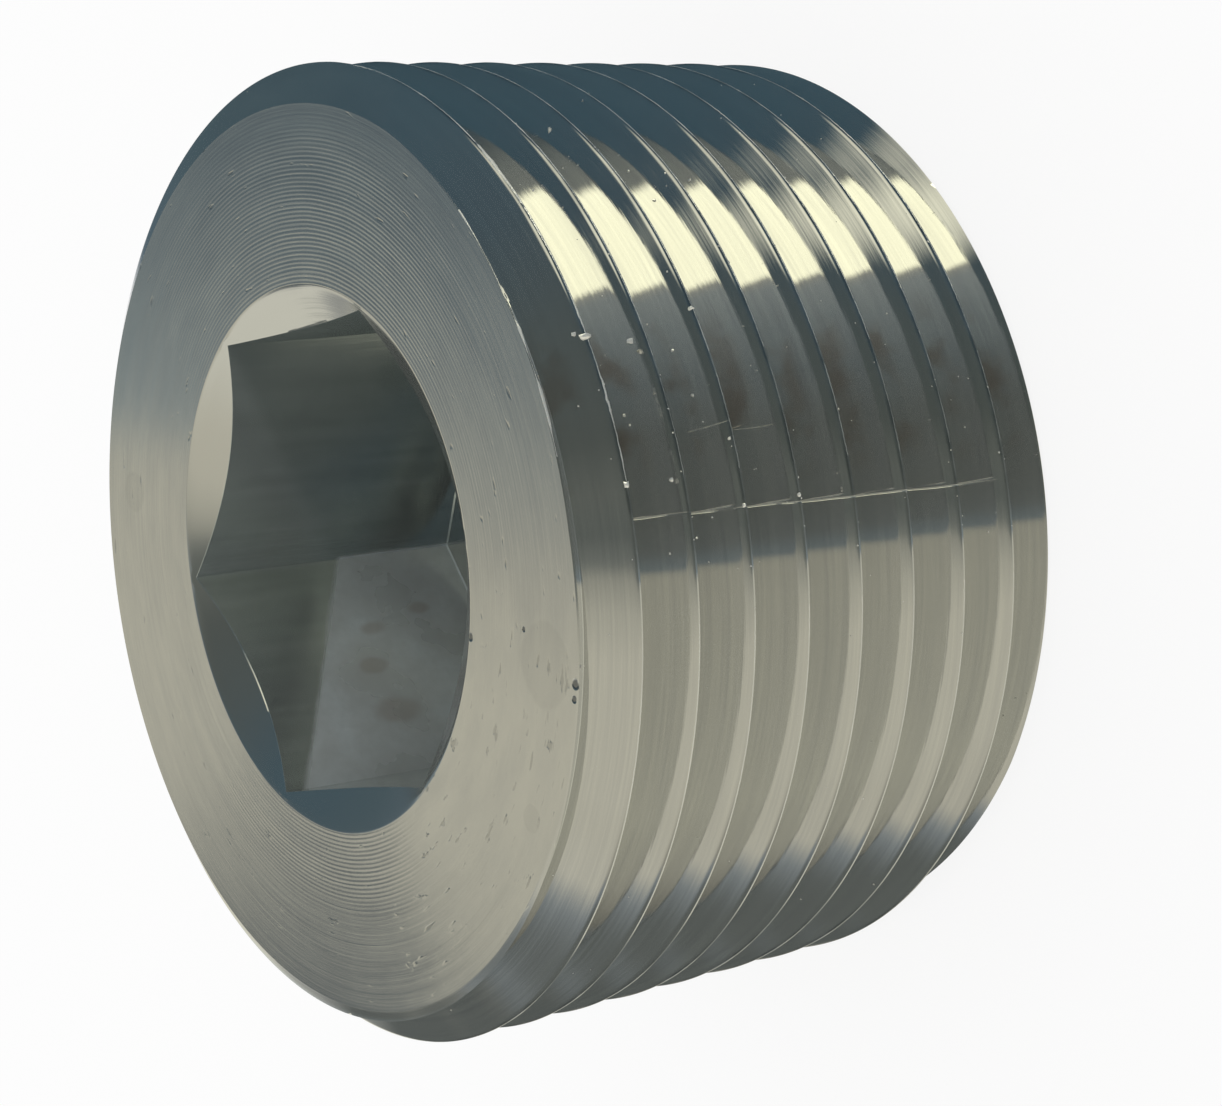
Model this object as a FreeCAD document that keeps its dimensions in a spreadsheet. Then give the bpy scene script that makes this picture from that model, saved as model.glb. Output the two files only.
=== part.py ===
# Hex socket plug in one piece: a tapered, threaded body with a hexagonal key socket in its large end.
# Millimetres. The small end stands on z = 0, +Z runs up the axis to the socket face, +X points at a socket corner.
import FreeCAD, Part
import math
import os
import Sketcher

os.makedirs("parts", exist_ok=True)
doc = FreeCAD.newDocument("hex_socket_plug")
V = FreeCAD.Vector

# Driving sizes
SIZES = [
    ("overall_length", "18.8"),
    ("small_end_crest_radius", "16.297"),
    ("taper_slope", "0.03125"),
    ("thread_pitch", "2.2087"),
    ("thread_depth", "1.68"),
    ("thread_crest_flat", "0.084"),
    ("thread_flank_slope", "0.57735"),
    ("thread_crest_below_face", "1.22"),
    ("cutter_overrun", "0.05"),
    ("face_chamfer_width", "1.41"),
    ("face_chamfer_height", "0.81"),
    ("end_chamfer_width", "0.5"),
    ("end_chamfer_height", "0.5"),
    ("socket_across_flats", "15.875"),
    ("socket_depth", "11"),
    ("mouth_radius", "9.35"),
    ("mouth_cone_depth", "5.4"),
    ("drill_radius", "7.8"),
    ("drill_point_height", "4.5"),
]
sheet = doc.addObject("Spreadsheet::Sheet", "sizes")
for row, (alias, text) in enumerate(SIZES, start=1):
    sheet.set("A%d" % row, alias)
    sheet.set("B%d" % row, text)
    sheet.setAlias("B%d" % row, alias)
doc.recompute()

body = doc.addObject("PartDesign::Body", "plug_body")
body.Label = "plug_body"
doc.recompute()


def size(name):
    return float(sheet.get(name))


def crest_radius(height):
    return size("small_end_crest_radius") + height * size("taper_slope")


def crest_rule(height_rule):
    return "sizes.small_end_crest_radius + (" + height_rule + ") * sizes.taper_slope"


def origin_plane(role):
    for item in body.Origin.OriginFeatures:
        if item.Role == role:
            return item
    raise RuntimeError("no origin feature " + role)


def new_sketch(name, role):
    sketch = body.newObject("Sketcher::SketchObject", name)
    sketch.AttachmentSupport = [(origin_plane(role), "")]
    sketch.MapMode = "FlatFace"
    return sketch


# A closed outline of straight edges. Each corner is (x, y, x_rule, y_rule): the rules drive it from the sheet.
def draw_outline(sketch, corners):
    count = len(corners)
    for k in range(count):
        x, y = corners[k][:2]
        next_x, next_y = corners[(k + 1) % count][:2]
        sketch.addGeometry(Part.LineSegment(V(x, y, 0), V(next_x, next_y, 0)), False)
    for k in range(count):
        sketch.addConstraint(Sketcher.Constraint("Coincident", k, 2, (k + 1) % count, 1))
    for k in range(count):
        x, y, x_rule, y_rule = corners[k]
        drive(sketch, k, "DistanceX", x, x_rule, -2)
        drive(sketch, k, "DistanceY", y, y_rule, -1)


def drive(sketch, edge, kind, value, rule, zero_line):
    if rule == "0":
        sketch.addConstraint(Sketcher.Constraint("PointOnObject", edge, 1, zero_line))
        return
    number = sketch.addConstraint(Sketcher.Constraint(kind, -1, 1, edge, 1, value))
    name = "%s_%d" % (kind, edge)
    sketch.renameConstraint(number, name)
    sketch.setExpression("Constraints." + name, rule)


# Tapered blank: a wide flat chamfer round the socket face and a small chamfer at the small end
length = size("overall_length")
end_top = size("end_chamfer_height")
face_start = length - size("face_chamfer_height")
end_crest = crest_radius(end_top)
face_crest = crest_radius(face_start)
END_CREST = crest_rule("sizes.end_chamfer_height")
FACE_START = "sizes.overall_length - sizes.face_chamfer_height"
FACE_CREST = crest_rule(FACE_START)
blank_sketch = new_sketch("blank_outline", "XZ_Plane")
draw_outline(blank_sketch, [
    (0, 0, "0", "0"),
    (end_crest - size("end_chamfer_width"), 0, END_CREST + " - sizes.end_chamfer_width", "0"),
    (end_crest, end_top, END_CREST, "sizes.end_chamfer_height"),
    (face_crest, face_start, FACE_CREST, FACE_START),
    (face_crest - size("face_chamfer_width"), length,
     FACE_CREST + " - sizes.face_chamfer_width", "sizes.overall_length"),
    (0, length, "0", "sizes.overall_length"),
])
blank = body.newObject("PartDesign::Revolution", "turned_blank")
blank.Profile = blank_sketch
blank.ReferenceAxis = (blank_sketch, ["V_Axis"])
blank.Angle = 360
body.Tip = blank
doc.recompute()

# Right-hand thread groove with 60 degrees between its flanks, cut one turn at a time up the taper.
# The first turn starts clear below the small end and the last one runs out through the socket face.
pitch = size("thread_pitch")
depth = size("thread_depth")
overrun = size("cutter_overrun")
half_top = (pitch - size("thread_crest_flat")) / 2 + overrun * size("thread_flank_slope")
half_root = half_top - (depth + overrun) * size("thread_flank_slope")
TOP = "((sizes.thread_pitch - sizes.thread_crest_flat) / 2 + sizes.cutter_overrun * sizes.thread_flank_slope)"
ROOT = "(" + TOP + " - (sizes.thread_depth + sizes.cutter_overrun) * sizes.thread_flank_slope)"
face_groove = length - size("thread_crest_below_face") + pitch / 2
turns_below = math.ceil((face_groove + half_top) / pitch)
feature = blank
for turn in range(turns_below + 1):
    steps = turns_below - turn
    middle = face_groove - pitch * steps
    MIDDLE = "sizes.overall_length - sizes.thread_crest_below_face - sizes.thread_pitch * %.1f" % (steps - 0.5)
    CREST = crest_rule(MIDDLE)
    root_radius = crest_radius(middle) - depth
    top_radius = crest_radius(middle) + overrun
    profile = new_sketch("groove_profile_%d" % turn, "XZ_Plane")
    draw_outline(profile, [
        (root_radius, middle - half_root, CREST + " - sizes.thread_depth", MIDDLE + " - " + ROOT),
        (top_radius, middle - half_top, CREST + " + sizes.cutter_overrun", MIDDLE + " - " + TOP),
        (top_radius, middle + half_top, CREST + " + sizes.cutter_overrun", MIDDLE + " + " + TOP),
        (root_radius, middle + half_root, CREST + " - sizes.thread_depth", MIDDLE + " + " + ROOT),
    ])
    feature = body.newObject("PartDesign::SubtractiveHelix", "groove_turn_%d" % turn)
    feature.Profile = profile
    feature.ReferenceAxis = (profile, ["V_Axis"])
    feature.Mode = "pitch-turns-angle"
    feature.Turns = 1
    feature.setExpression("Pitch", "sizes.thread_pitch")
    feature.setExpression("Angle", "atan(sizes.taper_slope)")
    body.Tip = feature
    doc.recompute()

# Hexagonal socket down from the face, with a corner on the X axis
hexagon = new_sketch("socket_hexagon", "XY_Plane")
hexagon.AttachmentOffset = FreeCAD.Placement(V(0, 0, length), FreeCAD.Rotation())
hexagon.setExpression("AttachmentOffset.Base.z", "sizes.overall_length")
corner_radius = size("socket_across_flats") / 2 / math.cos(math.radians(30))
corners = []
for k in range(6):
    angle = math.radians(60 * k)
    corners.append(V(corner_radius * math.cos(angle), corner_radius * math.sin(angle), 0))
for k in range(6):
    hexagon.addGeometry(Part.LineSegment(corners[k], corners[(k + 1) % 6]), False)
ring = hexagon.addGeometry(Part.Circle(V(0, 0, 0), V(0, 0, 1), corner_radius), True)
hexagon.addConstraint(Sketcher.Constraint("Coincident", ring, 3, -1, 1))
for k in range(6):
    hexagon.addConstraint(Sketcher.Constraint("Coincident", k, 2, (k + 1) % 6, 1))
    hexagon.addConstraint(Sketcher.Constraint("PointOnObject", k, 1, ring))
for k in range(1, 6):
    hexagon.addConstraint(Sketcher.Constraint("Equal", 0, k))
hexagon.addConstraint(Sketcher.Constraint("PointOnObject", 0, 1, -1))
flat = hexagon.addConstraint(Sketcher.Constraint("Distance", -1, 1, 0, size("socket_across_flats") / 2))
hexagon.renameConstraint(flat, "half_across_flats")
hexagon.setExpression("Constraints.half_across_flats", "sizes.socket_across_flats / 2")
socket = body.newObject("PartDesign::Pocket", "key_socket")
socket.Profile = hexagon
socket.setExpression("Length", "sizes.socket_depth")
body.Tip = socket
doc.recompute()

# Countersunk mouth of the socket
mouth_sketch = new_sketch("mouth_cone", "XZ_Plane")
draw_outline(mouth_sketch, [
    (0, length, "0", "sizes.overall_length"),
    (0, length - size("mouth_cone_depth"), "0", "sizes.overall_length - sizes.mouth_cone_depth"),
    (size("mouth_radius"), length, "sizes.mouth_radius", "sizes.overall_length"),
])
mouth = body.newObject("PartDesign::Groove", "mouth_countersink")
mouth.Profile = mouth_sketch
mouth.ReferenceAxis = (mouth_sketch, ["V_Axis"])
mouth.Angle = 360
body.Tip = mouth
doc.recompute()

# Drill point under the socket floor
floor = length - size("socket_depth")
FLOOR = "sizes.overall_length - sizes.socket_depth"
drill_sketch = new_sketch("drill_point", "XZ_Plane")
draw_outline(drill_sketch, [
    (0, floor, "0", FLOOR),
    (0, floor - size("drill_point_height"), "0", FLOOR + " - sizes.drill_point_height"),
    (size("drill_radius"), floor, "sizes.drill_radius", FLOOR),
])
drill = body.newObject("PartDesign::Groove", "socket_drill_point")
drill.Profile = drill_sketch
drill.ReferenceAxis = (drill_sketch, ["V_Axis"])
drill.Angle = 360
body.Tip = drill
doc.recompute()

# Checks before writing
for item in doc.Objects:
    if "Invalid" in item.State or "Error" in item.State:
        raise RuntimeError("bad object " + item.Name)
stages = [blank.Shape.Volume, feature.Shape.Volume, socket.Shape.Volume, mouth.Shape.Volume, drill.Shape.Volume]
for before, after in zip(stages, stages[1:]):
    if after >= before - 1:
        raise RuntimeError("a cut took nothing away")
shape = body.Shape
if shape.isNull() or not shape.isValid() or len(shape.Solids) != 1:
    raise RuntimeError("plug_body is not one valid solid")
shape.exportStep("parts/plug_body.step")
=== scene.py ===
import bpy
import math
import numpy as np
from mathutils import Matrix, Vector


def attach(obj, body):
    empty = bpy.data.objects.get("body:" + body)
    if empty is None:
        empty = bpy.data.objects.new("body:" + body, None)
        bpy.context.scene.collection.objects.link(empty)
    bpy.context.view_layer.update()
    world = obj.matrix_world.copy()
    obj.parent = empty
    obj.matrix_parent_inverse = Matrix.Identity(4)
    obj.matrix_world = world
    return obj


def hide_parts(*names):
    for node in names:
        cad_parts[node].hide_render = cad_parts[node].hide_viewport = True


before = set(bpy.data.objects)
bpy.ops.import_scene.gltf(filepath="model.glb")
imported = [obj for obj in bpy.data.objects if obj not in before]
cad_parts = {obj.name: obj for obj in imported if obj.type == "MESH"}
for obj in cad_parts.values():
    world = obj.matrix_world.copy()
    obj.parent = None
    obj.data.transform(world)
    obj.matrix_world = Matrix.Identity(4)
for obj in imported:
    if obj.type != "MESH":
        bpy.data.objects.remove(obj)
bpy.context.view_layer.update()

# Sizes in millimetres, the same as in the solid. Radii unless the name says otherwise.
LENGTH = 18.8
PITCH = 2.2087
THREAD_DEPTH = 1.68
CREST_HALF_WIDTH = 0.042
FLANK_SLOPE = 0.57735
TAPER = 0.03125
SMALL_CREST = 16.297
BIG_CREST = SMALL_CREST + LENGTH * TAPER
FIRST_CREST_Z = LENGTH - 1.22
CHAMFER_WIDTH = 1.41
CHAMFER_HEIGHT = 0.81
END_CHAMFER = 0.5
HALF_FLATS = 15.875 / 2
SOCKET_FLOOR_Z = LENGTH - 11.0
MOUTH = 9.35
MOUTH_SLOPE = 5.4 / 9.35
DRILL = 7.8
DRILL_POINT_HEIGHT = 4.5

# Sizes that only the mesh has, in millimetres
COLUMNS = 360
EDGE = 0.03
TOP_Z = LENGTH - EDGE
CREST_SUNK = 0.02
CREST_FLAT = 0.02
CREST_ROUND = 0.075
CREST_ROUND_POWER = 0.7
MOUTH_EDGE = MOUTH - 0.01
LIP_BEVEL = 0.008
SOCKET_FLOOR_BEVEL = 0.05
SAME_PLACE = 1e-4
SAME_ROW = 1e-6
MM = 0.001

# Half of a thread's profile: distances along the axis from the middle of the crest
CREST_STEPS = [0.0, 0.03, 0.065, 0.095, 0.125]
FLANK_FROM, FLANK_TO = 0.2, 0.94
CORNER_STEPS = [0.985, 1.01, 1.035]
ROOT_FROM = 1.06
TURNS = range(-10, 3)
FINE_TURNS = 2.3

# The angle of each column of the mesh, and how far the helix has risen there
phi = np.arange(COLUMNS) * 2 * math.pi / COLUMNS
lift = PITCH * phi / (2 * math.pi)

rng = np.random.default_rng(7)


# The turned and threaded outside
def crest_radius(z):
    return SMALL_CREST + z * TAPER


def thread_radius(s, z):
    """Radius at the distance s along the axis from the middle of a crest."""
    away = np.abs(s)
    depth = np.clip((away - CREST_HALF_WIDTH) / FLANK_SLOPE, 0, THREAD_DEPTH)
    rounding = np.clip(1 - np.maximum(away - CREST_FLAT, 0) / CREST_ROUND, 0, 1) ** CREST_ROUND_POWER
    return crest_radius(z) - depth - CREST_SUNK * rounding


def chamfer_radius(z):
    """Radius of the cone that cuts the thread: at the face or at the small end, whichever is smaller."""
    face = BIG_CREST - CHAMFER_WIDTH + (LENGTH - z) * CHAMFER_WIDTH / CHAMFER_HEIGHT
    end = SMALL_CREST - END_CHAMFER + z
    return np.minimum(face, end)


def outer_radius(z, s):
    return np.minimum(thread_radius(s, z), chamfer_radius(z))


def s_at(z, rise):
    """Distance along the axis from the nearest crest, where the helix has risen by rise."""
    return (z - FIRST_CREST_Z - rise + PITCH / 2) % PITCH - PITCH / 2


def profile_steps(flank_count, root_count):
    flank = np.linspace(FLANK_FROM, FLANK_TO, flank_count)
    root = np.linspace(ROOT_FROM, PITCH / 2, root_count + 1)[:-1]
    half = np.concatenate([CREST_STEPS, flank, CORNER_STEPS, root])
    return np.sort(np.concatenate([half, [PITCH / 2], -half[1:]]))


def row_places():
    """Height of each row in the first column, and its distance along the axis from its crest."""
    coarse, fine = profile_steps(3, 1), profile_steps(9, 2)
    heights, from_crest = [], []
    for turn in TURNS:
        crest = FIRST_CREST_Z + turn * PITCH
        for s in fine if crest > LENGTH - FINE_TURNS * PITCH else coarse:
            heights.append(crest + s)
            from_crest.append(s)
    heights, from_crest = np.array(heights), np.array(from_crest)
    keep = (heights + PITCH > 0) & (heights < TOP_Z)
    first = max(0, int(np.argmax(keep)) - 1)
    last = min(len(keep), len(keep) - int(np.argmax(keep[::-1])) + 1)
    return heights[first:last], from_crest[first:last]


def move_to_chamfer(Z, S):
    """Moves the nearer row to each place where thread and chamfer meet, so that the edge there is clean."""
    margin = 0.3
    gap = thread_radius(S, Z) - chamfer_radius(Z)
    moved = np.zeros_like(Z, bool)
    for j in range(len(Z) - 1):
        a, b = gap[j], gap[j + 1]
        cross = (a * b < 0) & (Z[j] > -margin) & (Z[j + 1] < LENGTH + margin)
        t = np.where(cross, a / np.where(cross, a - b, 1), 0)
        dz = Z[j + 1] - Z[j]
        ds = S[j + 1] - S[j]
        near = cross & (t < 0.5) & ~moved[j]
        far = cross & ~near
        for row, here, share in ((j, near, t), (j + 1, far, t - 1)):
            Z[row] = np.where(here, Z[row] + share * dz, Z[row])
            S[row] = np.where(here, S[row] + share * ds, S[row])
            moved[row] |= here


METALS = ("thread", "face", "chamfer", "cone", "wall", "end")


class Shell:
    """A closed mesh made of rings of vertices, with the metal of each face."""

    def __init__(self):
        self.points = []
        self.count = 0
        self.faces = []
        self.metals = []

    def add(self, points):
        self.points.append(points)
        self.count += len(points)
        return np.arange(self.count - len(points), self.count)

    def ring(self, r, z):
        r = np.broadcast_to(r, phi.shape)
        z = np.broadcast_to(z, phi.shape)
        return self.add(np.stack([r * np.cos(phi), r * np.sin(phi), z], 1))

    def on_axis(self, z):
        """A vertex on the axis, given as a ring whose vertices all fall together."""
        return np.full(COLUMNS, self.add(np.array([[0, 0, z]]))[0])

    def face(self, corners, metal):
        """A face, without corners that fall together. With fewer than three left it is no face."""
        loop = list(dict.fromkeys(int(v) for v in corners))
        if len(loop) > 2:
            self.faces.append(loop)
            self.metals.append(METALS.index(metal))

    def band(self, a, b, metal):
        """Faces between two rings. Seen from outside, b lies on the left of the way along a."""
        for i in range(COLUMNS):
            j = (i + 1) % COLUMNS
            self.face((a[i], a[j], b[j], b[i]), metal)

    def follow(self, ring, places, metal):
        """Bands from a ring through further rings, given by radius and height. Returns the last one."""
        for r, z in places:
            following = self.ring(r, z)
            self.band(ring, following, metal)
            ring = following
        return ring

    def packed(self):
        """Points and faces without the vertices that no face uses."""
        points = np.concatenate(self.points)
        used = np.zeros(len(points), bool)
        for loop in self.faces:
            used[loop] = True
        index = np.cumsum(used) - 1
        return points[used], [[int(index[v]) for v in loop] for loop in self.faces]


def add_outside(shell, top_ring, low_ring):
    """Thread and chamfers in rows that follow the helix. The last column joins the row one pitch up."""
    heights, from_crest = row_places()
    Z = heights[:, None] + lift[None, :]
    S = np.repeat(from_crest[:, None], COLUMNS, 1)
    move_to_chamfer(Z, S)
    is_chamfer = thread_radius(S, Z) > chamfer_radius(Z) + SAME_PLACE
    rows = []
    for z, s in zip(Z, S):
        row = shell.ring(outer_radius(z, s), np.clip(z, 0, TOP_Z))
        row = np.where(z >= TOP_Z - SAME_PLACE, top_ring, row)
        rows.append(np.where(z <= SAME_PLACE, low_ring, row))

    def after_turn(j):
        """First vertex of the row one pitch above row j, or of the top ring where there is none."""
        above = heights[j] + PITCH
        if above >= heights[-1] + SAME_ROW:
            return top_ring[0]
        return rows[int(np.argmin(np.abs(heights - above)))][0]

    for j in range(len(rows) - 1):
        low = np.append(rows[j], after_turn(j))
        high = np.append(rows[j + 1], after_turn(j + 1))
        on_face_side = (Z[j] + Z[j + 1]) / 2 > LENGTH / 2
        chamfered = (is_chamfer[j] | is_chamfer[j + 1]) & on_face_side
        for i in range(COLUMNS):
            metal = "chamfer" if chamfered[i] else "thread"
            shell.face((low[i], low[i + 1], high[i + 1], high[i]), metal)


def add_face(shell, top_ring, top_radius):
    """The faced end, from its rim to the mouth of the socket. Returns the ring at the mouth."""
    rim = top_radius - EDGE * 1.7
    rings = [(rim - step, LENGTH) for step in (0.0, 0.03, 0.12, 0.5)]
    for r in (14.0, 12.6, 11.2, 10.2, MOUTH + EDGE + 0.05, MOUTH + EDGE):
        rings.append((np.minimum(r, top_radius - 0.6), LENGTH))
    return shell.follow(top_ring, rings, "face")


def add_socket(shell, ring):
    """The countersunk mouth, the hexagon, its floor and the drill point."""
    sector = (phi + math.pi / 6) % (math.pi / 3) - math.pi / 6
    hexagon = HALF_FLATS / np.cos(math.pi / 6 - np.abs(sector))
    cone = [(MOUTH_EDGE, LENGTH - EDGE * 0.6)]
    for t in (0.06, 0.3, 0.6, 0.94, 1.0):
        r = MOUTH_EDGE + (hexagon + LIP_BEVEL - MOUTH_EDGE) * t
        cone.append((r, LENGTH - (MOUTH - r) * MOUTH_SLOPE))
    ring = shell.follow(ring, cone, "cone")

    lip = LENGTH - (MOUTH - hexagon) * MOUTH_SLOPE
    heights = (lip - LIP_BEVEL, lip - 0.06, lip - 0.6, 14.0, 11.0, SOCKET_FLOOR_Z + SOCKET_FLOOR_BEVEL)
    walls = [(hexagon, z) for z in heights]
    walls.append((hexagon - SOCKET_FLOOR_BEVEL, SOCKET_FLOOR_Z))
    ring = shell.follow(ring, walls, "wall")

    point = [(DRILL * (1 - t), SOCKET_FLOOR_Z - DRILL_POINT_HEIGHT * t) for t in (0, 0.3, 0.6, 0.85)]
    ring = shell.follow(ring, point, "cone")
    shell.band(ring, shell.on_axis(SOCKET_FLOOR_Z - DRILL_POINT_HEIGHT), "cone")


def add_small_end(shell, ring, radius):
    for share in (0.85, 0.5, 0.15):
        inner = shell.ring(radius * share, 0.0)
        shell.band(inner, ring, "end")
        ring = inner
    shell.band(shell.on_axis(0.0), ring, "end")


def add_object(name, points, faces):
    mesh = bpy.data.meshes.new(name)
    mesh.from_pydata((np.array(points) * MM).tolist(), [], faces)
    mesh.update()
    piece = bpy.data.objects.new(name, mesh)
    bpy.context.scene.collection.objects.link(piece)
    return piece


shell = Shell()
top_radius = outer_radius(TOP_Z, s_at(TOP_Z, lift))
low_radius = outer_radius(0.0, s_at(0.0, lift))
top_ring = shell.ring(top_radius, TOP_Z)
low_ring = shell.ring(low_radius, 0.0)
add_outside(shell, top_ring, low_ring)
mouth_ring = add_face(shell, top_ring, top_radius)
add_socket(shell, mouth_ring)
add_small_end(shell, low_ring, low_radius)

plug = add_object("plug_body_dressed", *shell.packed())
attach(plug, "root")
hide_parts("plug_body")


# Burrs that the cutting left along the edges, and small chips that cling to the flanks
GOLDEN = (1 + 5 ** 0.5) / 2
LUMP_CORNERS = (
    (-1, GOLDEN, 0), (1, GOLDEN, 0), (-1, -GOLDEN, 0), (1, -GOLDEN, 0),
    (0, -1, GOLDEN), (0, 1, GOLDEN), (0, -1, -GOLDEN), (0, 1, -GOLDEN),
    (GOLDEN, 0, -1), (GOLDEN, 0, 1), (-GOLDEN, 0, -1), (-GOLDEN, 0, 1),
)
LUMP_SIDES = (
    (0, 11, 5), (0, 5, 1), (0, 1, 7), (0, 7, 10), (0, 10, 11),
    (1, 5, 9), (5, 11, 4), (11, 10, 2), (10, 7, 6), (7, 1, 8),
    (3, 9, 4), (3, 4, 2), (3, 2, 6), (3, 6, 8), (3, 8, 9),
    (4, 9, 5), (2, 4, 11), (6, 2, 10), (8, 6, 7), (9, 8, 1),
)
RIDGE_SIDES = 6
RIM_SUNK = 0.02


def surface_point(angle, z, sunk):
    """A point of the outside at an angle in degrees, sunk into it by a few hundredths."""
    a = math.radians(angle)
    r = float(outer_radius(z, s_at(z, PITCH * a / (2 * math.pi)))) - sunk
    return np.array([r * math.cos(a), r * math.sin(a), z])


def crest_z(turn, angle):
    """Height of a crest at an angle in degrees, counted in turns down from the face."""
    return FIRST_CREST_Z + PITCH * (angle / 360.0 - turn)


def uneven(count, low, high, grain, g):
    """Radii that swell and thin along a ridge, with a few near gaps."""
    knots = g.uniform(0, 1, max(3, count // grain))
    wave = np.interp(np.linspace(0, len(knots) - 1, count), np.arange(len(knots)), knots)
    return low + (high - low) * wave ** 2


class Burrs:
    """Closed ridges and lumps in one mesh."""

    def __init__(self):
        self.points = []
        self.faces = []

    def lump(self, centre, size, stretch=(1, 1, 1)):
        """A small closed lump with uneven corners."""
        corners = np.array(LUMP_CORNERS, float)
        corners = corners / np.linalg.norm(corners[0]) * rng.uniform(0.65, 1.2, (12, 1))
        corners = corners * np.array(stretch) * size
        start = len(self.points)
        self.points.extend((corners + centre).tolist())
        self.faces.extend([tuple(start + i for i in side) for side in LUMP_SIDES])

    def ridge(self, path, radii):
        """A thin closed ridge along a path."""
        path = np.array(path)
        ahead = np.gradient(path, axis=0)
        ahead /= np.linalg.norm(ahead, axis=1)[:, None]
        out = path * np.array([1, 1, 0])
        out /= np.linalg.norm(out, axis=1)[:, None]
        across = np.cross(ahead, out)
        start = len(self.points)
        for i in range(len(path)):
            for k in range(RIDGE_SIDES):
                t = 2 * math.pi * k / RIDGE_SIDES
                p = path[i] + radii[i] * (math.cos(t) * out[i] + math.sin(t) * across[i])
                self.points.append(p.tolist())
        for i in range(len(path) - 1):
            for k in range(RIDGE_SIDES):
                a = start + i * RIDGE_SIDES + k
                b = start + i * RIDGE_SIDES + (k + 1) % RIDGE_SIDES
                self.faces.append((a, b, b + RIDGE_SIDES, a + RIDGE_SIDES))
        end = start + (len(path) - 1) * RIDGE_SIDES
        self.faces.append(tuple(range(start, start + RIDGE_SIDES))[::-1])
        self.faces.append(tuple(range(end, end + RIDGE_SIDES)))

    def crest_ridge(self, turn, first, last, low, high, seed):
        """A burr along a crest, from one angle in degrees to another."""
        g = np.random.default_rng(seed)
        count = max(8, int(abs(last - first) * 2.5))
        radii = uneven(count, low, high, 6, g)
        path = []
        for angle, radius in zip(np.linspace(first, last, count), radii):
            a = math.radians(angle)
            z = crest_z(turn, angle) + g.normal() * 0.008
            r = min(crest_radius(z) - CREST_SUNK, float(chamfer_radius(z))) - radius * 0.5
            path.append([r * math.cos(a), r * math.sin(a), z])
        radii[0] = radii[-1] = low * 0.4
        self.ridge(path, radii)

    def rim_ridge(self, first, last, low, high, seed):
        """A burr along the rim of the face."""
        count = 90
        radii = uneven(count, low, high, 5, np.random.default_rng(seed))
        path = []
        for angle, radius in zip(np.linspace(first, last, count), radii):
            x, y, _ = surface_point(angle, TOP_Z, EDGE)
            path.append([x, y, LENGTH - RIM_SUNK - radius * 0.5])
        self.ridge(path, radii)


burrs = Burrs()
burrs.crest_ridge(0, 72, 46.5, 0.012, 0.035, 11)
burrs.crest_ridge(0, 46.5, 36.0, 0.045, 0.085, 12)
burrs.crest_ridge(0, 36.0, 3.0, 0.010, 0.045, 13)
for turn in range(1, 8):
    burrs.crest_ridge(turn, 80, 34, 0.004, 0.026, 20 + turn)
    burrs.crest_ridge(turn, 34, 16, 0.003, 0.014, 40 + turn)
    burrs.crest_ridge(turn, 14, 3, 0.002, 0.008, 80 + turn)
for turn in range(0, 8):
    burrs.crest_ridge(turn, -12, -52, 0.003, 0.010, 60 + turn)
burrs.rim_ridge(41.5, 7.5, 0.012, 0.055, 5)

# The chips that the photograph shows best: angle in degrees, height, size and stretch
for angle, z, size, stretch in [
    (18.97, 17.74, 0.13, (1.0, 1.0, 1.9)), (19.8, 17.9, 0.08, (1, 1, 1.6)),
    (18.77, 15.76, 0.13, (1.0, 0.8, 1.6)), (2.86, 17.60, 0.10, (0.8, 1.8, 1.0)),
    (2.92, 15.63, 0.08, (1, 1, 1.5)), (21.46, 13.35, 0.09, (1, 1, 1.5)),
    (11.19, 16.21, 0.06, (1, 1, 1)), (9.92, 16.16, 0.05, (1, 1, 1)), (18.06, 13.87, 0.06, (1, 1, 1)),
    (12.33, 13.75, 0.06, (1, 1, 1)), (6.58, 13.29, 0.07, (1, 1, 1.3)), (-0.69, 13.21, 0.07, (1, 1.3, 1)),
    (-0.38, 10.97, 0.07, (1, 1.2, 1)), (39.14, 11.73, 0.07, (1, 1, 1.5)), (42.99, 9.60, 0.07, (1, 1, 1.4)),
    (52.13, 13.84, 0.09, (1, 1.5, 0.6)), (45.0, 11.8, 0.06, (1, 1, 1)), (-16.8, 18.62, 0.06, (1, 1.6, 1)),
]:
    burrs.lump(surface_point(angle, z, size * 0.35), size, stretch)

# Dust of the cutting: more of it between two angles, which is the side that the photograph shows
DUSTY_FROM, DUSTY_TO = -8, 62
DUST_LOW_Z, DUST_HIGH_Z = 0.7, LENGTH - 0.6
for _ in range(150):
    turn = rng.integers(0, 8)
    angle = rng.uniform(DUSTY_FROM, DUSTY_TO)
    z = crest_z(turn, angle) + rng.choice([rng.uniform(-0.12, 0.12), rng.uniform(0.1, 1.0)])
    if DUST_LOW_Z < z < DUST_HIGH_Z:
        size = 0.018 + 0.03 * rng.uniform() ** 2.5
        burrs.lump(surface_point(angle, z, size * 0.4), size)
for _ in range(260):
    angle = rng.uniform(-180, 180)
    turn = rng.integers(0, 8)
    z = crest_z(turn, angle) + rng.uniform(-0.6, 0.9)
    if DUST_LOW_Z < z < DUST_HIGH_Z and not DUSTY_FROM < angle < DUSTY_TO:
        size = 0.015 + 0.025 * rng.uniform() ** 2.5
        burrs.lump(surface_point(angle, z, size * 0.4), size)

chips = add_object("thread_burrs", burrs.points, burrs.faces)
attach(chips, "root")


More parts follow.
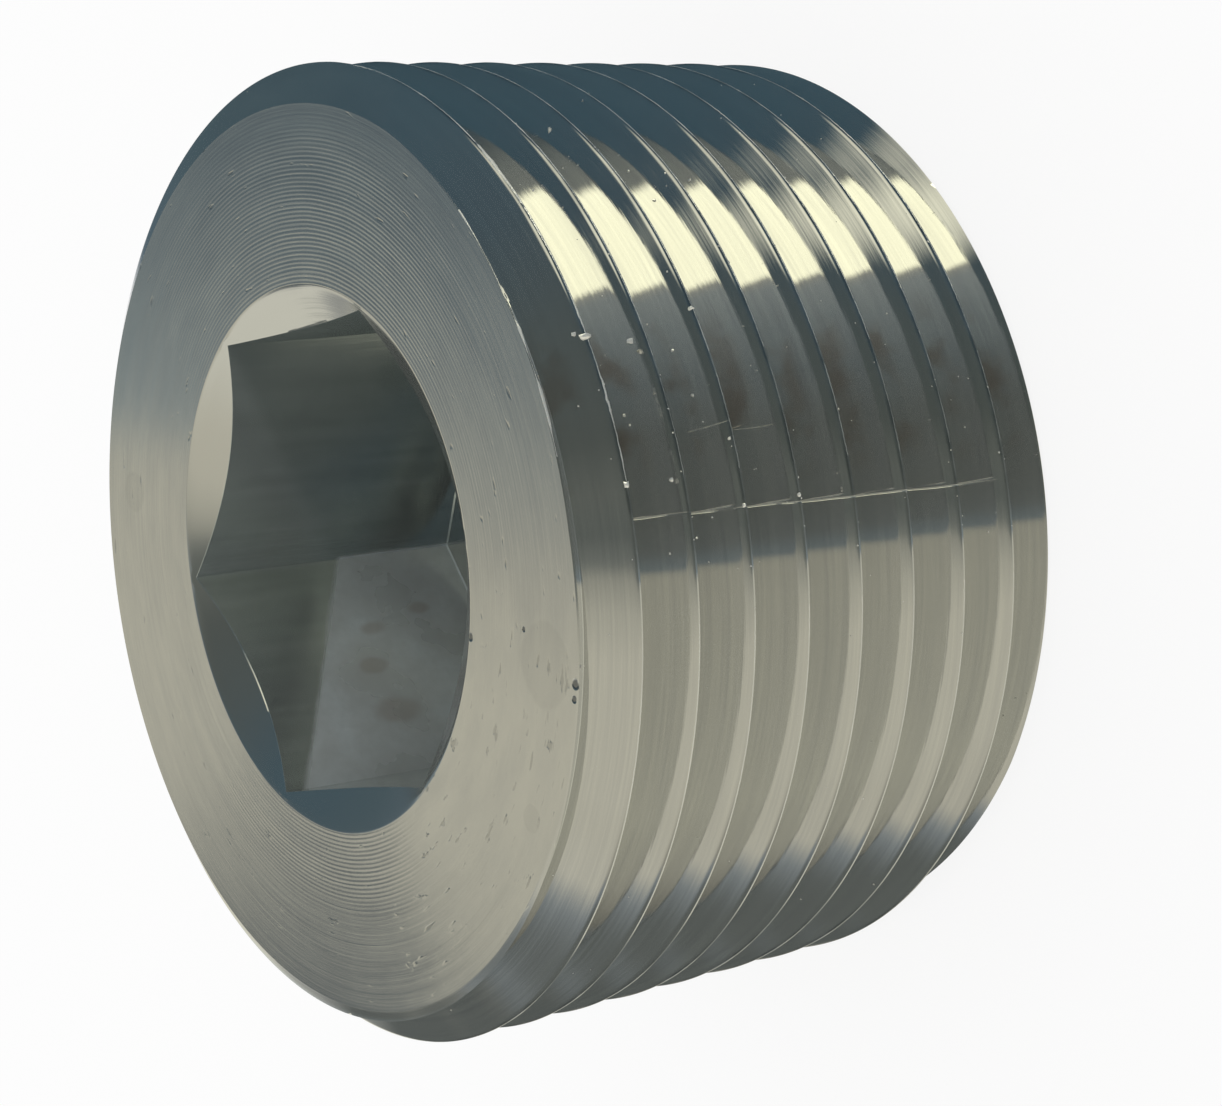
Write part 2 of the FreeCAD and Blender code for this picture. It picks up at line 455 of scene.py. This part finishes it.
# Materials
class Nodes:
    """Short calls that add nodes. A value is a number, a vector, a colour or a node's output."""

    def __init__(self, tree):
        self.tree = tree

    def new(self, kind):
        return self.tree.nodes.new(kind)

    def put(self, value, socket):
        if isinstance(value, bpy.types.NodeSocket):
            self.tree.links.new(value, socket)
        elif socket.type == "RGBA":
            socket.default_value = (*value, 1)
        else:
            socket.default_value = value

    def math(self, operation, *values):
        node = self.new("ShaderNodeMath")
        node.operation = operation
        for value, socket in zip(values, node.inputs):
            self.put(value, socket)
        return node.outputs[0]

    def times(self, first, *others):
        for other in others:
            first = self.math("MULTIPLY", first, other)
        return first

    def plus(self, a, b):
        return self.math("ADD", a, b)

    def minus(self, a, b):
        return self.math("SUBTRACT", a, b)

    def larger(self, a, b):
        return self.math("MAXIMUM", a, b)

    def degrees(self, y, x):
        return self.times(self.math("ARCTAN2", y, x), 180 / math.pi)

    def vector(self, operation, *values):
        node = self.new("ShaderNodeVectorMath")
        node.operation = operation
        for value, socket in zip(values, node.inputs):
            self.put(value, socket)
        return node.outputs["Value" if operation in ("LENGTH", "DOT_PRODUCT", "DISTANCE") else "Vector"]

    def join(self, x, y, z):
        node = self.new("ShaderNodeCombineXYZ")
        for value, socket in zip((x, y, z), node.inputs):
            self.put(value, socket)
        return node.outputs[0]

    def split(self, vector):
        node = self.new("ShaderNodeSeparateXYZ")
        self.put(vector, node.inputs[0])
        return node.outputs

    def noise(self, place, scale=1.0, detail=2.0, rough=0.5):
        node = self.new("ShaderNodeTexNoise")
        self.put(place, node.inputs["Vector"])
        node.inputs["Scale"].default_value = scale
        node.inputs["Detail"].default_value = detail
        node.inputs["Roughness"].default_value = rough
        return node.outputs["Fac"]

    def span(self, value, start, end, low=0.0, high=1.0, kind="LINEAR"):
        """From low at start to high at end, and level outside them."""
        node = self.new("ShaderNodeMapRange")
        node.interpolation_type = kind
        self.put(value, node.inputs["Value"])
        for name, number in (("From Min", start), ("From Max", end), ("To Min", low), ("To Max", high)):
            node.inputs[name].default_value = number
        return node.outputs["Result"]

    def rise(self, value, start, end, low=0.0, high=1.0):
        """As span, with soft ends."""
        return self.span(value, start, end, low, high, "SMOOTHSTEP")

    def fall(self, value, start, end, high=1.0, low=0.0):
        """From high down to low, with soft ends."""
        return self.span(value, start, end, high, low, "SMOOTHSTEP")

    def ramp(self, value, stops):
        """Colours by place. The stops are pairs of a place from 0 to 1 and a colour."""
        node = self.new("ShaderNodeValToRGB")
        elements = node.color_ramp.elements
        while len(elements) > 1:
            elements.remove(elements[0])
        elements[0].position = stops[0][0]
        elements[0].color = (*stops[0][1], 1)
        for position, colour in stops[1:]:
            elements.new(position).color = (*colour, 1)
        self.put(value, node.inputs[0])
        return node.outputs[0]

    def mix(self, share, a, b):
        node = self.new("ShaderNodeMix")
        node.data_type = "RGBA"
        self.put(share, node.inputs[0])
        self.put(a, node.inputs[6])
        self.put(b, node.inputs[7])
        return node.outputs[2]

    def mix_shader(self, share, a, b):
        node = self.new("ShaderNodeMixShader")
        for value, socket in zip((share, a, b), node.inputs):
            self.put(value, socket)
        return node.outputs[0]


class Steel:
    """A metal, with the places that its detail is laid out by: millimetres, and directions from the axis."""

    def __init__(self, name, anisotropy=0.0):
        self.material = bpy.data.materials.new(name)
        self.material.use_nodes = True
        self.nodes = n = Nodes(self.material.node_tree)
        self.shader = self.material.node_tree.nodes["Principled BSDF"]
        self.put((0.59, 0.588, 0.565), "Base Color")
        self.put(0.95, "Metallic")
        if anisotropy:
            tangent = n.new("ShaderNodeTangent")
            tangent.direction_type = "RADIAL"
            tangent.axis = "Z"
            self.put(anisotropy, "Anisotropic")
            self.put(0.25, "Anisotropic Rotation")
            self.put(tangent.outputs[0], "Tangent")
        metres = n.new("ShaderNodeTexCoord").outputs["Object"]
        self.place = n.vector("MULTIPLY", metres, (1 / MM,) * 3)
        self.x, self.y, self.z = n.split(self.place)
        self.flat = n.join(self.x, self.y, 0.0)
        self.r = n.vector("LENGTH", self.flat)
        self.ax, self.ay, _ = n.split(n.vector("NORMALIZE", self.flat))

    def put(self, value, name):
        self.nodes.put(value, self.shader.inputs[name])

    def bump(self, height, microns):
        node = self.nodes.new("ShaderNodeBump")
        node.inputs["Distance"].default_value = microns * 1e-6
        node.inputs["Strength"].default_value = 1.0
        self.nodes.put(height, node.inputs["Height"])
        self.put(node.outputs[0], "Normal")

    def streaks(self, along, across, detail, rough=0.5):
        """Noise in streaks around the axis: its steps along them, and its steps a millimetre across them."""
        n = self.nodes
        place = n.join(n.times(self.ax, along), n.times(self.ay, along), n.times(self.r, across))
        return n.noise(place, 1.0, detail, rough)


DULL_TONE = (0.545, 0.545, 0.53)

# Scratches that run along the plug across the thread: angle in degrees at SCRATCH_Z, degrees a millimetre,
# half width in degrees, a number that sets the bends, and the heights that it runs between
SCRATCH_Z = 17.3
SCRATCHES = (
    (-0.75, 0.054, 0.11, 0.9, 2.0, 16.6),
    (8.1, -0.10, 0.035, 2.3, 11.4, 13.6),
)


def thread_scratches(s, angle):
    n = s.nodes
    scratches = 0.0
    for top, slope, half_width, seed, low, high in SCRATCHES:
        wanted = n.minus(top, n.times(n.minus(SCRATCH_Z, s.z), slope))
        bend = n.times(n.minus(n.noise(n.join(seed, s.z, 0.0), scale=0.5), 0.5), 0.8)
        off = n.math("ABSOLUTE", n.minus(n.minus(angle, wanted), bend))
        line = n.fall(off, half_width * 0.35, half_width)
        gaps = n.rise(n.noise(n.join(s.z, seed, 3.0), scale=0.9, detail=3.0), 0.38, 0.5, low=0.15)
        reach = n.times(n.rise(s.z, low, low + 1.5), n.fall(s.z, high, high + 0.5))
        scratches = n.larger(scratches, n.times(line, gaps, reach))
    return scratches


def thread_steel():
    """Streaks along the thread, crests darkened in patches as painted shade (not between about -54 and -10
    degrees), brownish blots deep in the grooves, and two scratches.
    """
    s = Steel("thread_steel", anisotropy=0.3)
    n = s.nodes
    depth = n.minus(n.math("MULTIPLY_ADD", s.z, TAPER, SMALL_CREST), s.r)
    angle = n.degrees(s.y, s.x)
    along_thread = n.math("MULTIPLY_ADD", s.z, 1.3, n.times(s.ay, 1.6))
    streak_at = n.join(n.times(s.ax, 1.6), along_thread, n.times(depth, 9.0))
    streak = n.noise(streak_at, detail=4.0, rough=0.65)
    wide = n.noise(streak_at, scale=0.35)
    pits = n.noise(s.place, scale=2.4, detail=3.0, rough=0.6)
    scratch = thread_scratches(s, angle)

    height = n.plus(n.times(streak, 0.6), n.times(wide, 0.8))
    height = n.math("MULTIPLY_ADD", pits, 0.08, height)
    s.bump(n.minus(height, n.times(scratch, 4.0)), microns=2.5)
    rough = n.span(streak, 0.3, 0.7, low=0.015, high=0.055)
    s.put(n.plus(rough, n.times(scratch, 0.35)), "Roughness")

    crest = n.fall(depth, 0.02, 0.11)
    patchy = n.span(n.noise(s.place, scale=0.8), 0.40, 0.60, low=0.25, high=0.85)
    # Sides where the crests get painted shade: everywhere but between about -54 and -10 degrees around the
    # axis.
    shaded_crest_side = n.larger(n.rise(angle, -10, 2), n.fall(angle, -66, -54))
    blot = n.rise(n.noise(s.place, scale=0.55, detail=3.0), 0.46, 0.60)
    blot_side = n.times(n.rise(angle, 0, 8, high=0.6), n.fall(angle, 17, 25))
    tone = n.mix(n.span(streak, 0.32, 0.68), DULL_TONE, (0.62, 0.618, 0.59))
    # Painted shade: crests darkened in patches on those sides.
    tone = n.mix(n.times(crest, patchy, shaded_crest_side), tone, (0.26, 0.27, 0.265))
    tone = n.mix(n.times(n.rise(depth, 0.5, 1.1), blot, blot_side), tone, (0.45, 0.385, 0.33))
    s.put(n.mix(scratch, tone, (0.68, 0.68, 0.655)), "Base Color")
    return s.material


# Round stains and small nicks on the face: x, y and radius
STAINS = ((12.9, -4.2, 1.35), (11.1, -9.0, 0.5), (-13.0, 3.5, 0.7))
NICKS = (
    (14.42, -4.92, 0.20), (14.25, -5.38, 0.14), (8.90, -3.17, 0.16),
    (15.1, -4.3, 0.12), (12.0, -3.1, 0.10),
)
RING_SPACING = 0.145


def turning_rings(s, soft):
    """Rings that the tool left around the socket, worn away towards the rim and at the sides."""
    n = s.nodes
    wobble = n.times(n.noise(s.place, scale=0.35, detail=1.0), 0.10)
    rings = n.math("SINE", n.times(n.plus(s.r, wobble), 2 * math.pi / RING_SPACING))
    reach = n.plus(n.minus(s.r, n.times(s.ay, 1.3)), n.times(soft, 1.6))
    to_rim = n.fall(reach, 12.6, 15.2, low=0.05)
    to_sides = n.rise(n.math("ABSOLUTE", s.ay), 0.35, 0.85, low=0.15)
    return n.times(rings, 0.24, to_rim, to_sides)


def face_stains(s, soft):
    n = s.nodes
    stains = 0.0
    for x, y, size in STAINS:
        off = n.vector("DISTANCE", s.flat, (x, y, 0.0))
        off = n.math("MULTIPLY_ADD", n.minus(soft, 0.5), size * 1.4, off)
        rim = n.times(n.rise(off, size * 0.80, size), n.fall(off, size, size * 1.12))
        inside = n.fall(off, size * 0.8, size * 1.05, high=0.16)
        stains = n.larger(stains, n.plus(n.times(rim, 0.14), inside))
    return stains


def face_nicks(s):
    n = s.nodes
    nicks = 0.0
    for x, y, size in NICKS:
        off = n.vector("DISTANCE", s.flat, (x, y, 0.0))
        nicks = n.larger(nicks, n.fall(off, size * 0.5, size))
    return nicks


def face_steel(name, rings=True, marks=False, smears=False, microns=5.0, rough=(0.09, 0.15), turned=0.93):
    """A faced surface: fine turned lines, soft smears and small dents. The face alone has marks (stains
    and nicks), and the chamfer alone has brownish smears and a haze on its lower side."""
    s = Steel(name, turned)
    n = s.nodes
    soft = n.noise(s.place, scale=0.3)
    line = s.streaks(along=0.8, across=6.0, detail=4.0, rough=0.7)
    smear = s.streaks(along=3.5, across=0.9, detail=4.0, rough=0.6)
    dash = s.streaks(along=14.0, across=3.6, detail=2.0)

    height = n.times(line, 0.8)
    if rings:
        height = n.plus(turning_rings(s, soft), height)
    tone = n.mix(n.span(smear, 0.30, 0.70), DULL_TONE, (0.625, 0.62, 0.59))
    roughness = n.plus(n.span(line, 0.3, 0.7, *rough), n.times(smear, 0.03))
    if marks:
        lower_right = n.minus(n.times(s.ax, 0.78), n.times(s.ay, 0.62))
        dash = n.plus(dash, n.times(n.rise(lower_right, 0.55, 0.98), 0.06))
        tone = n.mix(face_stains(s, soft), tone, (0.40, 0.40, 0.385))
    dent = n.rise(dash, 0.69, 0.79)
    height = n.minus(height, n.times(dent, 1.2))
    tone = n.mix(n.times(dent, 0.5), tone, (0.34, 0.34, 0.325))
    if marks:
        nick = face_nicks(s)
        height = n.minus(height, n.times(nick, 6.0))
        tone = n.mix(n.times(nick, 0.85), tone, (0.12, 0.13, 0.14))
    if smears:
        fibre = n.rise(s.streaks(along=5.0, across=4.5, detail=4.0, rough=0.65), 0.44, 0.60)
        side = n.times(n.rise(s.ay, -0.22, 0.02), n.fall(s.ay, 0.40, 0.62), n.span(s.ax, 0.0, 0.3))
        tone = n.mix(n.times(fibre, side, 0.6), tone, (0.30, 0.27, 0.235))
        haze = n.times(n.fall(s.ay, -0.88, -0.70), n.fall(s.z, 18.50, 18.70))
        tone = n.mix(haze, tone, (0.86, 0.90, 0.91))
        roughness = n.plus(roughness, n.times(haze, 0.12))
    s.put(tone, "Base Color")
    s.put(roughness, "Roughness")
    s.bump(height, microns)
    return s.material


# Two walls of the hexagon: the direction from the axis to each, and the level direction along it
LOW_WALL, ALONG_LOW_WALL = (-0.866, -0.5, 0.0), (0.5, -0.866, 0.0)
HIGH_WALL, ALONG_HIGH_WALL = (-0.866, 0.5, 0.0), (-0.5, -0.866, 0.0)

# Brownish blots on the walls: x, y, z and radius
BLOTS = (
    (-7.61, -2.69, 12.6, 0.60), (-6.83, -4.05, 13.06, 0.50),
    (-5.85, -5.75, 13.06, 0.90), (-7.9, -2.2, 10.2, 0.45),
)


def wall_blots(s, cloud):
    n = s.nodes
    blots = 0.0
    for x, y, z, size in BLOTS:
        off = n.vector("MULTIPLY", n.vector("SUBTRACT", s.place, (x, y, z)), (1.5, 1.5, 0.8))
        off = n.math("MULTIPLY_ADD", n.minus(cloud, 0.5), size * 1.8, n.vector("LENGTH", off))
        blots = n.larger(blots, n.fall(off, size * 0.4, size))
    return blots


def wall_steel():
    """Broached walls, with a duller, rougher band on the low wall whose pale bluish colour is a painted
    reflection, and a paler corner on the high one.
    """
    s = Steel("socket_steel")
    n = s.nodes
    drag = n.noise(n.vector("MULTIPLY", s.place, (2.2, 2.2, 0.12)), detail=4.0, rough=0.6)
    cloud = n.noise(s.place, scale=0.35, detail=3.0)
    fine = n.noise(s.place, scale=3.0, detail=3.0)

    def on_wall(wall):
        return n.span(n.vector("DOT_PRODUCT", s.place, wall), 7.80, 7.90)

    uneven_z = n.math("MULTIPLY_ADD", n.minus(cloud, 0.5), 0.5, s.z)
    slant = n.minus(uneven_z, n.times(n.vector("DOT_PRODUCT", s.place, ALONG_LOW_WALL), 0.566))
    # The band on the low wall: duller and rougher, and its pale bluish colour is a painted reflection.
    dull_and_sheen = n.times(n.fall(slant, 15.10, 15.48), on_wall(LOW_WALL))
    slant = n.plus(uneven_z, n.times(n.vector("DOT_PRODUCT", s.place, ALONG_HIGH_WALL), 0.64))
    pale = n.times(n.rise(slant, 15.3, 16.2), on_wall(HIGH_WALL))

    tone = n.mix(n.span(drag, 0.35, 0.65), (0.50, 0.545, 0.53), (0.58, 0.625, 0.61))
    # Pale bluish colour of the band: painted reflection.
    painted_sheen_tone = n.mix(n.span(fine, 0.3, 0.7), (0.60, 0.66, 0.68), (0.68, 0.74, 0.765))
    painted_sheen_tone = n.mix(n.span(cloud, 0.32, 0.66), (0.50, 0.53, 0.53), painted_sheen_tone)
    tone = n.mix(n.times(dull_and_sheen, 0.9), tone, painted_sheen_tone)
    tone = n.mix(n.times(wall_blots(s, cloud), 0.5), tone, (0.38, 0.35, 0.32))
    s.put(tone, "Base Color")
    s.put(n.minus(n.minus(0.86, n.times(dull_and_sheen, 0.42)), n.times(pale, 0.07)), "Metallic")
    s.put(n.plus(n.span(cloud, 0.3, 0.7, low=0.12, high=0.24), n.times(dull_and_sheen, 0.12)), "Roughness")
    s.bump(n.plus(drag, n.times(cloud, 0.5)), microns=8.0)
    return s.material


def cone_steel():
    s = Steel("countersink_steel")
    s.put(0.14, "Roughness")
    s.bump(s.streaks(along=0.8, across=7.0, detail=3.0, rough=0.6), microns=6.0)
    return s.material


def burr_steel():
    s = Steel("burr_steel")
    s.put((0.86, 0.85, 0.80), "Base Color")
    s.put(0.7, "Metallic")
    s.put(0.3, "Roughness")
    s.bump(s.nodes.noise(s.place, scale=14.0), microns=10.0)
    return s.material


def shade(piece, materials, metals, sharp_angle):
    """Gives a piece its materials, one for each face, and smooth shading up to an angle in degrees."""
    mesh = piece.data
    for material in materials:
        mesh.materials.append(material)
    mesh.polygons.foreach_set("material_index", np.array(metals, np.int32))
    mesh.polygons.foreach_set("use_smooth", np.ones(len(metals), bool))
    mesh.set_sharp_from_angle(angle=math.radians(sharp_angle))
    mesh.update()


shade(chips, [burr_steel()], [0] * len(burrs.faces), 50)
plug_metals = {
    "thread": thread_steel(),
    "face": face_steel("face_steel", marks=True),
    "chamfer": face_steel(
        "chamfer_steel", rings=False, smears=True, microns=1.5, rough=(0.06, 0.10), turned=0.5),
    "cone": cone_steel(),
    "wall": wall_steel(),
    "end": face_steel("end_steel"),
}
shade(plug, [plug_metals[metal] for metal in METALS], shell.metals, 28)

# Floor, a little under the plug. It glows for the camera and is clear from below, and the metal does not
# mirror it.
FLOOR_SIZE = 6.0
FLOOR_GAP = 0.00005
FLOOR_GLOW = 0.85

bpy.ops.mesh.primitive_plane_add(size=FLOOR_SIZE, location=(0, 0, -FLOOR_GAP))
ground = bpy.context.object
ground.name = "floor"
floor_white = bpy.data.materials.new("floor_white")
floor_white.use_nodes = True
n = Nodes(floor_white.node_tree)
paint = floor_white.node_tree.nodes["Principled BSDF"]
n.put((0.92, 0.92, 0.92), paint.inputs["Base Color"])
n.put(0.9, paint.inputs["Roughness"])
n.put(0.0, paint.inputs["Specular IOR Level"])
glow_share = n.times(n.new("ShaderNodeLightPath").outputs["Is Camera Ray"], FLOOR_GLOW)
from_below = n.new("ShaderNodeNewGeometry").outputs["Backfacing"]
glowing = n.mix_shader(glow_share, paint.outputs[0], n.new("ShaderNodeEmission").outputs[0])
one_sided = n.mix_shader(from_below, glowing, n.new("ShaderNodeBsdfTransparent").outputs[0])
n.put(one_sided, floor_white.node_tree.nodes["Material Output"].inputs[0])
ground.data.materials.append(floor_white)
ground.visible_glossy = False

# The camera's directions. The world's up, back and side follow them.
CAMERA_RIGHT = Vector((0.539998, -0.132611, -0.831154))
CAMERA_UP = Vector((0.106938, 0.990317, -0.088528))
UP = CAMERA_UP.normalized()
FORWARD = Vector((-0.834845, 0.041077, -0.54895)).normalized()
BACK = (FORWARD - UP * FORWARD.dot(UP)).normalized()
SIDE = BACK.cross(UP).normalized()
HORIZON_TILT = 0.0875

# World: a studio around the plug, given as colours by elevation in degrees
LEFT_FRONT = [
    (-80, (0.20, 0.20, 0.17)),
    (-56, (0.38, 0.37, 0.31)),
    (-46, (0.62, 0.60, 0.50)),
    (-36, (0.68, 0.66, 0.55)),
    (-20, (0.66, 0.64, 0.53)),
    (-14, (0.54, 0.53, 0.44)),
    (-10, (0.38, 0.38, 0.32)),
    (-8.2, (0.19, 0.205, 0.185)),
    (-5, (0.115, 0.132, 0.12)),
    (0, (0.12, 0.135, 0.12)),
    (6, (0.072, 0.088, 0.080)),
    (18, (0.065, 0.090, 0.092)),
    (30, (0.048, 0.090, 0.118)),
    (60, (0.044, 0.100, 0.145)),
    (68, (0.13, 0.17, 0.18)),
    (76, (0.28, 0.32, 0.31)),
    (88, (0.36, 0.39, 0.36)),
]
LEFT_BACK_LOW = [
    (-80, (0.20, 0.20, 0.17)),
    (-52, (0.45, 0.44, 0.38)),
    (-40, (0.84, 0.83, 0.72)),
    (-28, (0.84, 0.83, 0.72)),
    (-18, (0.66, 0.64, 0.525)),
]
CRISP_EDGE = [
    (-8.3, (0.64, 0.62, 0.51)),
    (-7.7, (0.30, 0.36, 0.37)),
    (-6, (0.24, 0.295, 0.31)),
]
HAZY_EDGE = [
    (-11.5, (0.64, 0.62, 0.51)),
    (-8.6, (0.46, 0.455, 0.39)),
    (-6.2, (0.23, 0.27, 0.275)),
]
LEFT_BACK_HIGH = [
    (-3.5, (0.155, 0.20, 0.22)),
    (-1, (0.085, 0.130, 0.160)),
    (8, (0.058, 0.105, 0.13)),
    (30, (0.036, 0.090, 0.125)),
    (60, (0.044, 0.105, 0.15)),
    (68, (0.13, 0.17, 0.18)),
    (76, (0.28, 0.32, 0.31)),
    (88, (0.36, 0.39, 0.36)),
]
RIGHT = [
    (-85, (0.62, 0.61, 0.52)),
    (-60, (0.80, 0.79, 0.66)),
    (-45, (0.78, 0.77, 0.65)),
    (-12, (0.72, 0.71, 0.60)),
    (-4, (0.67, 0.66, 0.56)),
    (-3.1, (0.58, 0.58, 0.50)),
    (-2.3, (0.27, 0.325, 0.35)),
    (-0.5, (0.235, 0.28, 0.29)),
    (1.5, (0.195, 0.22, 0.215)),
    (8, (0.165, 0.185, 0.175)),
    (26, (0.155, 0.18, 0.175)),
    (38, (0.20, 0.245, 0.26)),
    (50, (0.33, 0.39, 0.41)),
    (58, (0.46, 0.52, 0.53)),
    (60.5, (0.66, 0.66, 0.58)),
    (80, (0.45, 0.48, 0.45)),
]

# Soft round spots: azimuth and elevation, inner and outer radius in degrees, share and colour
LOW_SPOTS = (
    (-80, -66, 19, 24, 0.85, (0.23, 0.275, 0.31)),
    (-80, -66, 14, 21, 1.0, (0.125, 0.14, 0.133)),
    (14, -48, 8, 18, 1.0, (0.19, 0.21, 0.20)),
    (-48, -50, 6, 15, 1.0, (0.115, 0.13, 0.125)),
    (-34, -36, 9, 14, 1.0, (0.115, 0.13, 0.125)),
)
HIGH_SPOTS = (
    (-31, -20, 5, 13, 1.0, (0.36, 0.37, 0.35)),
    (-125, 33.5, 5, 12.3, 1.0, (1.25, 1.23, 0.98)),
    (-115, 43, 5, 13, 1.0, (1.05, 1.03, 0.84)),
)


def toward(azimuth, elevation):
    a, e = math.radians(azimuth), math.radians(elevation)
    return tuple((BACK * math.cos(a) + SIDE * math.sin(a)) * math.cos(e) + UP * math.sin(e))


class Studio(Nodes):
    """The world's node tree, with the direction that a ray leaves in."""

    def __init__(self, tree):
        super().__init__(tree)
        self.direction = self.new("ShaderNodeTexCoord").outputs["Generated"]
        self.height = self.along((UP - HORIZON_TILT * BACK).normalized())
        self.side = self.along(SIDE)
        self.behind = self.along(BACK)
        self.elevation = self.times(self.math("ARCSINE", self.height), 180 / math.pi)
        self.azimuth = self.degrees(self.side, self.behind)

    def along(self, axis):
        """How far the ray's direction goes along an axis: 1 where it is that axis."""
        return self.vector("DOT_PRODUCT", self.direction, tuple(axis))

    def sky(self, elevation, stops):
        place = self.span(elevation, -90, 90)
        return self.ramp(place, [((degrees + 90) / 180, colour) for degrees, colour in stops])

    def add_spots(self, room, spots):
        for azimuth, elevation, inner, outer, share, colour in spots:
            near = self.along(toward(azimuth, elevation))
            inside = self.rise(near, math.cos(math.radians(outer)), math.cos(math.radians(inner)))
            room = self.mix(self.times(inside, share), room, colour)
        return room

    def left_room(self):
        """Dark room over a pale table, whose edge is crisp or hazy and leans with the azimuth."""
        swing = self.math("MINIMUM", self.larger(self.azimuth, -68.0), -59.0)
        leaning = self.plus(self.elevation, self.times(self.plus(swing, 63.3), -0.373))
        crisp = self.sky(leaning, LEFT_BACK_LOW + CRISP_EDGE + LEFT_BACK_HIGH)
        hazy = self.sky(leaning, LEFT_BACK_LOW + HAZY_EDGE + LEFT_BACK_HIGH)
        back = self.mix(self.rise(self.azimuth, -65.5, -61.5), hazy, crisp)
        front = self.sky(self.elevation, LEFT_FRONT)
        return self.mix(self.rise(self.behind, -0.35, 0.1), front, back)

    def add_strip(self, room):
        """A dark strip on the table."""
        strip = self.times(
            self.rise(self.azimuth, -66, -63.5), self.fall(self.azimuth, -53, -49),
            self.fall(self.elevation, -17.0, -12.5), self.rise(self.elevation, -31, -26))
        return self.mix(strip, room, (0.10, 0.125, 0.14))

    def add_panel(self, room):
        """A warm soft panel overhead, laid out on a level plane."""
        up_safe = self.larger(self.height, 0.02)
        across = self.math("DIVIDE", self.side, up_safe)
        away = self.math("DIVIDE", self.behind, up_safe)
        edge = self.minus(across, self.times(away, 0.3))
        inside = self.times(
            self.rise(edge, 0.02, 0.08), self.rise(self.elevation, 59.6, 61.4), self.fall(away, 0.25, 0.55))
        return self.mix(inside, room, (2.95, 2.9, 2.2))

    def light(self, colour):
        node = self.new("ShaderNodeBackground")
        self.put(colour, node.inputs["Color"])
        return node.outputs[0]


world = bpy.data.worlds.new("studio")
world.use_nodes = True
world.node_tree.nodes.clear()
bpy.context.scene.world = world
w = Studio(world.node_tree)
room = w.mix(w.rise(w.side, -0.15, 0.25), w.left_room(), w.sky(w.elevation, RIGHT))
room = w.add_spots(room, LOW_SPOTS)
room = w.add_strip(room)
room = w.add_spots(room, HIGH_SPOTS)
room = w.add_panel(room)

# The metal mirrors the room. White is what the camera sees, and what the metal shows of the directions
# close behind the plug. All other light is an even near-white.
ray = w.new("ShaderNodeLightPath").outputs
close_behind = w.rise(w.along(FORWARD), 0.965, 0.985)
seen_in_metal = w.times(ray["Is Glossy Ray"], close_behind)
white = w.larger(w.larger(ray["Is Camera Ray"], ray["Is Transmission Ray"]), seen_in_metal)
mirrored = w.mix_shader(ray["Is Glossy Ray"], w.light((0.95, 0.95, 0.95)), w.light(room))
shown = w.mix_shader(white, mirrored, w.light((1, 1, 1)))
w.put(shown, w.new("ShaderNodeOutputWorld").inputs[0])

# Camera
CAMERA_PLACE = (0.096811, -0.001108, 0.074805)
LENS_SHIFT = 0.09824

camera = bpy.data.objects.new("camera", bpy.data.cameras.new("camera"))
bpy.context.scene.collection.objects.link(camera)
turned = Matrix((CAMERA_RIGHT, CAMERA_UP, -FORWARD)).transposed()
camera.matrix_world = Matrix.Translation(CAMERA_PLACE) @ turned.to_4x4()
camera.data.sensor_width = 36
camera.data.lens = 96.449
camera.data.shift_x = LENS_SHIFT
camera.data.shift_y = -LENS_SHIFT
camera.data.clip_start = 0.005
bpy.context.scene.camera = camera

bpy.context.scene.view_settings.view_transform = "Standard"
